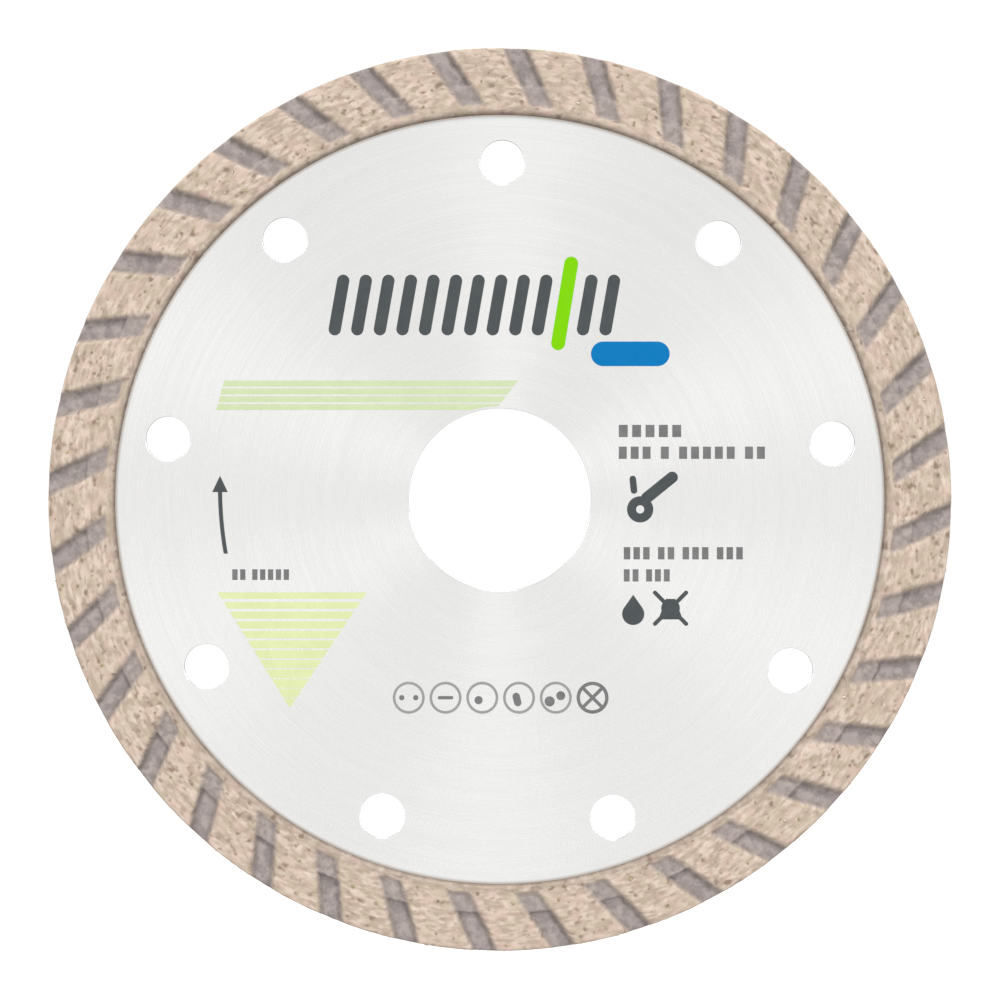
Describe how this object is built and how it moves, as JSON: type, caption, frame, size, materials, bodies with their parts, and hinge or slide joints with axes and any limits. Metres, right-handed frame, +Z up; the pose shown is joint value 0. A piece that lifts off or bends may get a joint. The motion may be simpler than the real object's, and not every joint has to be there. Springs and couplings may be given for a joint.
{
  "type": "diamond cutting blade",
  "caption": "Turbo-rim diamond cutting disc: flat steel core with an arbor bore and cooling holes, sintered abrasive rim with slanted grooves on both faces.",
  "frame": {"origin": "centre of the arbor bore, at half the core's thickness", "axes": "+Y along the spin axis, out of the plain back face; the printed face looks along -Y; +Z up on the print, +X to its right"},
  "size_m": [0.11, 0.0026, 0.1102],
  "materials": {
    "steel": "satin",
    "bond": "matte",
    "diamond": "polished",
    "ink_dark": "satin",
    "ink_grey": "satin",
    "ink_light_grey": "satin",
    "ink_green": "satin",
    "ink_blue": "satin",
    "ink_pale_green": "satin",
    "ink_lime": "satin"
  },
  "bodies": {
    "root": {"steel_core": "steel", "turbo_rim": "bond", "diamonds_front": "diamond", "diamonds_back": "diamond", "diamonds_edge": "diamond", "print_headline_bars": "ink_dark", "print_headline_accent": "ink_green", "print_blue_tag": "ink_blue", "print_green_band": "ink_pale_green", "print_green_triangle": "ink_lime", "print_rotation_arrow": "ink_dark", "print_standard_line": "ink_grey", "print_size_lines": "ink_grey", "print_speed_lines": "ink_grey", "print_tool_symbol": "ink_dark", "print_water_drop": "ink_dark", "print_crossed_symbol": "ink_dark", "print_icon_rings": "ink_light_grey", "print_icon_glyphs": "ink_grey", "print_crossed_ring": "ink_grey"}
  },
  "joints": []
}
